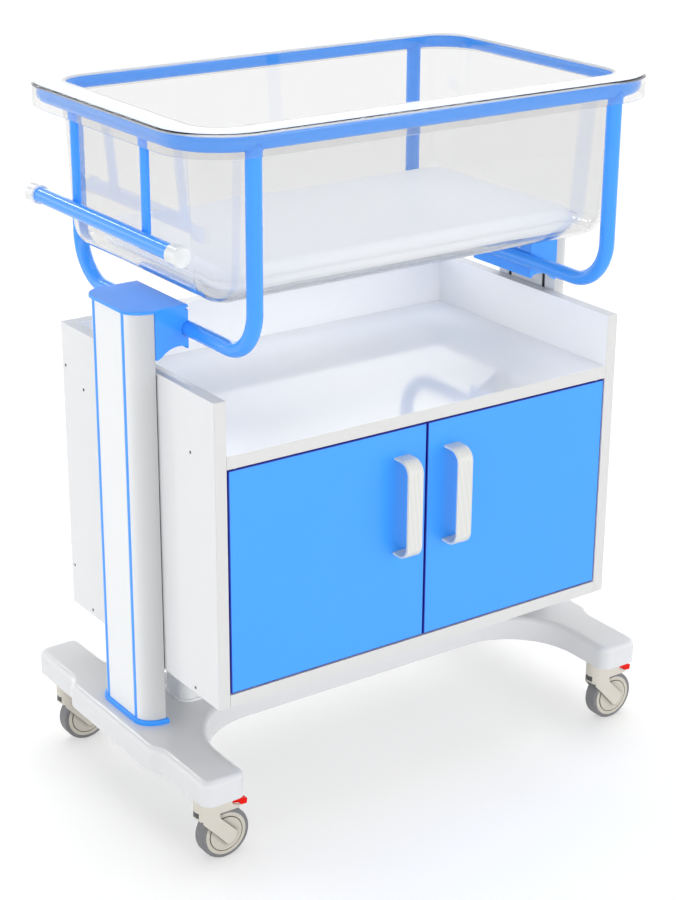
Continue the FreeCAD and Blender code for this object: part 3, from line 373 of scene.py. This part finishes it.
# Welds: a small rippled bead where each U tube and each drop tube of the push bar meets the rim from below,
# coated with the frame. Each follows the curve on which the two tubes meet.
RIM_R = 10.65 * mm
BEAD_R, RIPPLE, RIPPLES, BEAD_STEPS, BEAD_SIDES = 1.5 * mm, 0.2 * mm, 26, 104, 8


def bead(shape, stations, sides):
    """A closed round bead. A station holds its middle, the level direction outwards and its radius."""
    rings = [[shape.verts.new(middle + (out * cos(t) + Vector((0, 0, 1)) * sin(t)) * radius)
              for t in (2 * pi * m / sides for m in range(sides))] for middle, out, radius in stations]
    for a, b in zip(rings, rings[1:] + rings[:1]):
        for m in range(sides):
            shape.faces.new((a[m - 1], a[m], b[m], b[m - 1]))


def weld(shape, centre, tube_r, rim_axis):
    """The bead round a tube of radius tube_r that comes up to the rim at centre."""
    stations = []
    for k in range(BEAD_STEPS):
        angle = 2 * pi * k / BEAD_STEPS
        out = Vector((cos(angle), sin(angle), 0))
        offset = out.y if rim_axis == "X" else out.x
        drop = (max(RIM_R ** 2 - (tube_r * offset) ** 2, 0)) ** 0.5
        middle = centre + out * tube_r - Vector((0, 0, drop))
        stations.append((middle, out, BEAD_R + RIPPLE * cos(RIPPLES * angle)))
    bead(shape, stations, BEAD_SIDES)


def crib_welds(shape):
    """The beads of both U tubes and of the push bar's two drop tubes."""
    rim_low, rim_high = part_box("rim_tube")
    rim_z = (rim_low.z + rim_high.z) / 2
    for side in ("left", "right"):
        low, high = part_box(f"support_tube_{side}")
        for y in (low.y + RIM_R, high.y - RIM_R):
            weld(shape, Vector(((low.x + high.x) / 2, y, rim_z)), RIM_R, "X")
    low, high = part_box("handle_drop_tubes")
    drop_r = (high.x - low.x) / 2
    for y in (low.y + drop_r, high.y - drop_r):
        weld(shape, Vector(((low.x + high.x) / 2, y, rim_z)), drop_r, "Y")


welds = mesh_object("crib_welds", crib_welds)
welds.data.materials.append(blue_powder)
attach(welds, "crib_frame")

# End caps: clear polyethylene plugs pressed into both ends of the push bar.
# They look milky, because the plastic is thick there.
clear_cap = finish("clear polyethylene", "#fafbfc", 0.12, Transmission_Weight=0.25, IOR=1.51)
skin(clear_cap, 3 * mm, 0.03 * mm, ("#f8fafb", "#fcfdfd"), (0.1, 0.14), patch=10 * mm)
dress(clear_cap, "handle_end_caps")

# Tub: vacuum-formed from clear acrylic sheet, 4 mm thick, which leaves the walls slightly uneven. The flange
# is trimmed, and its cut edge is eased and left satin. Lamps and diffuse light pass the walls unbent, as they
# do in a real thin wall.
SHEET, EASED, EASED_STEPS, SHARP_ANGLE = 4 * mm, 1.2 * mm, 3, radians(50)
WAVE, WAVE_DEPTH = 70 * mm, 0.05 * mm
POLISHED, CUT, UPRIGHT_BELOW = 0.02, 0.5, 0.5
acrylic = finish("clear formed acrylic", "#ebebeb", POLISHED, Transmission_Weight=1.0, IOR=1.49)
place = node(acrylic, "TexCoord").outputs["Object"]
wave = node(acrylic, "TexNoise", {"Vector": place, "Scale": 1 / WAVE, "Detail": 1.0})
uneven = node(acrylic, "Bump", {"Height": wave.outputs["Fac"], "Distance": WAVE_DEPTH, "Strength": 1.0})
feed(acrylic, "Normal", uneven.outputs["Normal"])
upright = node(acrylic, "SeparateXYZ", {0: node(acrylic, "TexCoord").outputs["Normal"]}).outputs["Z"]
upright = node(acrylic, "Math", {0: upright}, operation="ABSOLUTE").outputs[0]
upright = node(acrylic, "Math", {0: upright, 1: UPRIGHT_BELOW}, operation="LESS_THAN").outputs[0]
flange_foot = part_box("tub")[1].z - SHEET
in_flange = node(acrylic, "SeparateXYZ", {0: place}).outputs["Z"]
in_flange = node(acrylic, "Math", {0: in_flange, 1: flange_foot}, operation="GREATER_THAN").outputs[0]
cut_edge = node(acrylic, "Math", {0: upright, 1: in_flange}, operation="MULTIPLY").outputs[0]
polish = node(acrylic, "MapRange", {"Value": cut_edge, "To Min": POLISHED, "To Max": CUT}).outputs["Result"]
feed(acrylic, "Roughness", polish)
path = node(acrylic, "LightPath")
clear_wall = acrylic.node_tree.nodes["Principled BSDF"].outputs["BSDF"]
open_way = node(acrylic, "BsdfTransparent", {"Color": linear("#fafbfb")}).outputs["BSDF"]
for_diffuse = node(acrylic, "MixShader", {0: path.outputs["Is Diffuse Ray"], 1: clear_wall, 2: open_way})
for_lamps = node(acrylic, "MixShader", {0: path.outputs["Is Shadow Ray"], 1: for_diffuse.outputs["Shader"],
                                        2: open_way})
surface = acrylic.node_tree.nodes["Material Output"].inputs["Surface"]
acrylic.node_tree.links.new(for_lamps.outputs["Shader"], surface)
dress(acrylic, "tub")
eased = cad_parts["tub"].modifiers.new("eased edges", "BEVEL")
eased.width, eased.segments, eased.limit_method, eased.angle_limit = EASED, EASED_STEPS, "ANGLE", SHARP_ANGLE

# Mattress: a foam pad in a welded cover of coated white knit, which has a soft sheen. It lies loose on the
# tub's floor, crowned by its filling, and its lower edge is cut back where the tub's bottom is round.
PAD_LOW, PAD_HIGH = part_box("mattress")
PAD_CORNER, CORNER_STEPS, PAD_CLEAR = 42 * mm, 10, 0.2 * mm
START_INSET, START_FOOT, START_TOP, EDGE_INSET = 4 * mm, 1 * mm, 3 * mm, 14 * mm
EDGE_FOOT = ((0.0, 1.0), (4 * mm, 0.45), (11 * mm, 0.0))
EDGE_TOP = ((-9 * mm, 0.0), (-3 * mm, 0.25), (0.0, 0.8))
VOXEL, SWELL_CAP, PRESSURE, SIM_FRAMES = 5 * mm, 6 * mm, 4.0, 20


def pad_loop(z, inset):
    """Points of the pad's rounded outline at one height."""
    middle = (PAD_LOW + PAD_HIGH) / 2
    half = (PAD_HIGH - PAD_LOW) / 2 - Vector((inset, inset, 0))
    radius = PAD_CORNER - inset
    points = []
    for k in range(4):
        centre = Vector(((half.x - radius) * (1, -1, -1, 1)[k], (half.y - radius) * (1, 1, -1, -1)[k], 0))
        for step in range(CORNER_STEPS + 1):
            angle = (k + step / CORNER_STEPS) * pi / 2
            points.append((middle.x + centre.x + radius * cos(angle),
                           middle.y + centre.y + radius * sin(angle), z))
    return points


def pad_start(shape):
    """The pad before it swells: level outlines, drawn in towards its foot and its top."""
    low, high = PAD_LOW.z + START_FOOT, PAD_HIGH.z - START_TOP
    levels = [(low + up, share) for up, share in EDGE_FOOT] + [(high + up, share) for up, share in EDGE_TOP]
    rings = [[shape.verts.new(p) for p in pad_loop(z, START_INSET + EDGE_INSET * share)]
             for z, share in levels]
    for a, b in zip(rings, rings[1:]):
        for k in range(len(a)):
            shape.faces.new((a[k - 1], a[k], b[k], b[k - 1]))
    shape.faces.new(rings[0])
    shape.faces.new(rings[-1])


def bake_modifiers(thing):
    """Replaces the mesh by what its modifiers make of it."""
    mesh = bpy.data.meshes.new_from_object(thing.evaluated_get(bpy.context.evaluated_depsgraph_get()))
    thing.modifiers.clear()
    thing.data = mesh


pad = mesh_object("mattress_pad", pad_start)
remesh = pad.modifiers.new("voxels", "REMESH")
remesh.mode, remesh.voxel_size, remesh.use_smooth_shade = "VOXEL", VOXEL, True
bake_modifiers(pad)
start = [v.co.copy() for v in pad.data.vertices]
cloth = pad.modifiers.new("swelling", "CLOTH").settings
cloth.use_pressure, cloth.uniform_pressure_force = True, PRESSURE
cloth.effector_weights.gravity = 0.0
for step in range(1, SIM_FRAMES + 1):
    bpy.context.scene.frame_set(step)
bake_modifiers(pad)
bpy.context.scene.frame_set(1)
for vertex, rest in zip(pad.data.vertices, start):
    moved = vertex.co - rest
    if moved.length > SWELL_CAP:
        vertex.co = rest + moved * (SWELL_CAP / moved.length)
for vertex in pad.data.vertices:
    vertex.co = [min(max(c, low + PAD_CLEAR), high - PAD_CLEAR)
                 for c, low, high in zip(vertex.co, PAD_LOW, PAD_HIGH)]
finer = pad.modifiers.new("finer", "SUBSURF")
finer.levels = finer.render_levels = 1
bake_modifiers(pad)

coated_knit = finish("white coated knit", "#f9fafd", 0.42, Sheen_Weight=0.15, Sheen_Roughness=0.4)
skin(coated_knit, 3 * mm, 0.02 * mm, ("#f8f9fc", "#fafbfe"), (0.4, 0.46))
pad.data.materials.clear()
pad.data.materials.append(coated_knit)
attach(pad, "mattress")
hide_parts("mattress")

# Mattress seam: the two halves of the cover are welded together round the pad's side.
# The weld stands out as a thin ridge of the same coated knit.
SEAM_R, SEAM_SIDES, SEAM_HEIGHT, SEAM_IN = 0.9 * mm, 6, 0.62, 0.4 * mm


def seam_ridge(shape):
    """A closed ridge just inside the pad's outline."""
    z = PAD_LOW.z + (PAD_HIGH.z - PAD_LOW.z) * SEAM_HEIGHT
    inner, outer = pad_loop(z, SEAM_R + SEAM_IN), pad_loop(z, 0)
    stations = [(Vector(a), (Vector(b) - Vector(a)).normalized(), SEAM_R) for a, b in zip(inner, outer)]
    bead(shape, stations, SEAM_SIDES)


seam = mesh_object("mattress_seam", seam_ridge)
seam.data.materials.append(coated_knit)
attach(seam, "mattress")

# Floor: a wide matt white sheet that keeps the object's shadow. Seen by eye or in a reflection it glows a
# little, so that it is white where nothing shades it.
FLOOR_HALF, FLOOR_GLOW, FLOOR_SHOWN = 40.0, 0.41, 0.66


def seen_by_eye_or_gloss(material):
    """1 for camera, glossy and transmitted rays, 0 for the diffuse ones that light the object."""
    path = node(material, "LightPath")
    either = node(material, "Math", {0: path.outputs["Is Camera Ray"], 1: path.outputs["Is Glossy Ray"]},
                  operation="MAXIMUM")
    return node(material, "Math", {0: either.outputs[0], 1: path.outputs["Is Transmission Ray"]},
                operation="MAXIMUM").outputs[0]


def floor_sheet(shape):
    """One large level face."""
    bmesh.ops.create_grid(shape, x_segments=1, y_segments=1, size=FLOOR_HALF)


floor = mesh_object("floor", floor_sheet)
floor_paint = finish("matt white floor", "#efefef", 0.9)
glow = node(floor_paint, "Emission", {"Color": linear("#ffffff"), "Strength": FLOOR_GLOW})
shade = node(floor_paint, "BsdfDiffuse", {"Color": (FLOOR_SHOWN, FLOOR_SHOWN, FLOOR_SHOWN, 1.0)})
lit = node(floor_paint, "AddShader", {0: glow.outputs["Emission"], 1: shade.outputs["BSDF"]})
nodes = floor_paint.node_tree.nodes
either = node(floor_paint, "MixShader", {0: seen_by_eye_or_gloss(floor_paint), 2: lit.outputs["Shader"],
                                         1: nodes["Principled BSDF"].outputs["BSDF"]})
floor_paint.node_tree.links.new(either.outputs["Shader"], nodes["Material Output"].inputs["Surface"])
floor.data.materials.append(floor_paint)

# Light: a white room, bright round the horizon and dim above, with a broad lamp overhead and two weak low
# ones that reach under the tub. Glossy and clear faces see white walls under a darker ceiling, which draws
# their edges. Only mirrored rays see the bright skirting, the window low behind and two strips overhead.
HORIZON, HORIZON_TOP, SKY, SKY_FROM = 1.8, 0.35, 0.15, 0.6
CEILING_FROM, CEILING_FULL, CEILING = 0.62, 0.8, 0.35
WINDOW_TOWARDS, WINDOW_FULL, WINDOW_EDGE, WINDOW = (0.5275, 0.7855, 0.3256), 1.5, 6.0, 0.9
SKIRTING_TOP, SKIRTING_EDGE, SKIRTING = 0.225, 0.27, 1.3
OBJECT_MIDDLE = Vector((0, 0, 0.8))
room = bpy.data.worlds.new("white room")
bpy.context.scene.world = room
room.use_nodes = True
wall = room.node_tree.nodes["Background"]
wall.inputs["Color"].default_value = linear("#ffffff")
towards = node(room, "TexCoord").outputs["Generated"]
height = node(room, "SeparateXYZ", {0: towards}).outputs["Z"]
graded = node(room, "MapRange", {"Value": height, "From Min": HORIZON_TOP, "From Max": SKY_FROM,
                                 "To Min": HORIZON, "To Max": SKY}, interpolation_type="SMOOTHSTEP")
room.node_tree.links.new(graded.outputs["Result"], wall.inputs["Strength"])
ceiling = node(room, "MapRange", {"Value": height, "From Min": CEILING_FROM, "From Max": CEILING_FULL,
                                  "To Min": 1.0, "To Max": CEILING}, interpolation_type="SMOOTHSTEP")
near = node(room, "VectorMath", {0: towards, 1: WINDOW_TOWARDS}, operation="DOT_PRODUCT").outputs["Value"]
window = node(room, "MapRange", {"Value": near, "From Min": cos(radians(WINDOW_EDGE)),
                                 "From Max": cos(radians(WINDOW_FULL)), "To Min": 0.0, "To Max": WINDOW},
              interpolation_type="SMOOTHSTEP")
skirting = node(room, "MapRange", {"Value": height, "From Min": SKIRTING_TOP, "From Max": SKIRTING_EDGE,
                                   "To Min": SKIRTING, "To Max": 0.0}, interpolation_type="SMOOTHSTEP")
extra = node(room, "Math", {0: window.outputs["Result"], 1: skirting.outputs["Result"]}, operation="ADD")
path = node(room, "LightPath")
only_mirrored = node(room, "Math", {0: path.outputs["Is Glossy Ray"], 1: path.outputs["Is Transmission Ray"]},
                     operation="SUBTRACT", use_clamp=True)
mirrored = node(room, "Math", {0: extra.outputs[0], 1: only_mirrored.outputs[0],
                               2: ceiling.outputs["Result"]}, operation="MULTIPLY_ADD")
white = node(room, "Background", {"Color": linear("#ffffff"), "Strength": mirrored.outputs[0]})
either = node(room, "MixShader", {0: seen_by_eye_or_gloss(room), 1: wall.outputs["Background"],
                                  2: white.outputs["Background"]})
room.node_tree.links.new(either.outputs["Shader"], room.node_tree.nodes["World Output"].inputs["Surface"])


def sun(name, come_from, energy, angle):
    """A broad lamp far away in that direction, whose disc shows only through the clear walls."""
    lamp = bpy.data.lights.new(name, "SUN")
    lamp.energy, lamp.angle = energy, radians(angle)
    made = bpy.data.objects.new(name, lamp)
    made.rotation_euler = Vector(come_from).to_track_quat("Z", "Y").to_euler()
    made.visible_camera = made.visible_glossy = False
    bpy.context.scene.collection.objects.link(made)


sun("overhead lamp", come_from=(0.13, 0.2, 0.85), energy=1.5, angle=60)
sun("low lamp, back left", come_from=(-0.7, 0.7, 0.16), energy=0.3, angle=50)
sun("low lamp, front", come_from=(0.0, -1.0, 0.2), energy=0.65, angle=50)


def bright_panel(name, place, size, radiance):
    """A panel that only glossy faces mirror, turned towards the object."""
    lamp = bpy.data.lights.new(name, "AREA")
    lamp.shape, (lamp.size, lamp.size_y), lamp.energy = "RECTANGLE", size, radiance * pi * size[0] * size[1]
    made = bpy.data.objects.new(name, lamp)
    made.location = place
    made.rotation_euler = (OBJECT_MIDDLE - Vector(place)).to_track_quat("-Z", "Y").to_euler()
    made.visible_camera = made.visible_diffuse = made.visible_transmission = False
    bpy.context.scene.collection.objects.link(made)


bright_panel("strip along the tub", place=(1.6, -0.6, 3.3), size=(1.8, 0.2), radiance=12.0)
bright_panel("strip across the tub", place=(-0.45, 2.3, 2.7), size=(0.2, 1.6), radiance=14.0)

# Camera: a long lens, well above the rim and in front of the push-bar end.
# It looks down on the doors, the left side and into the tub.
CAMERA_PLACE, SENSOR, LENS = (-1.57185, -2.2426, 1.5244), 36.0, 80.24
CAMERA_TURN, CAMERA_DOWN, CAMERA_ROLL = radians(-34.8549), radians(21.2568), radians(0.3149)
camera = bpy.data.objects.new("camera", bpy.data.cameras.new("camera"))
camera.data.sensor_width, camera.data.lens = SENSOR, LENS
camera.location = CAMERA_PLACE
camera.rotation_euler = (Matrix.Rotation(CAMERA_TURN, 3, "Z") @ Matrix.Rotation(pi / 2 - CAMERA_DOWN, 3, "X")
                         @ Matrix.Rotation(CAMERA_ROLL, 3, "Z")).to_euler()
bpy.context.scene.collection.objects.link(camera)
bpy.context.scene.camera = camera
bpy.context.scene.view_settings.view_transform = "Standard"
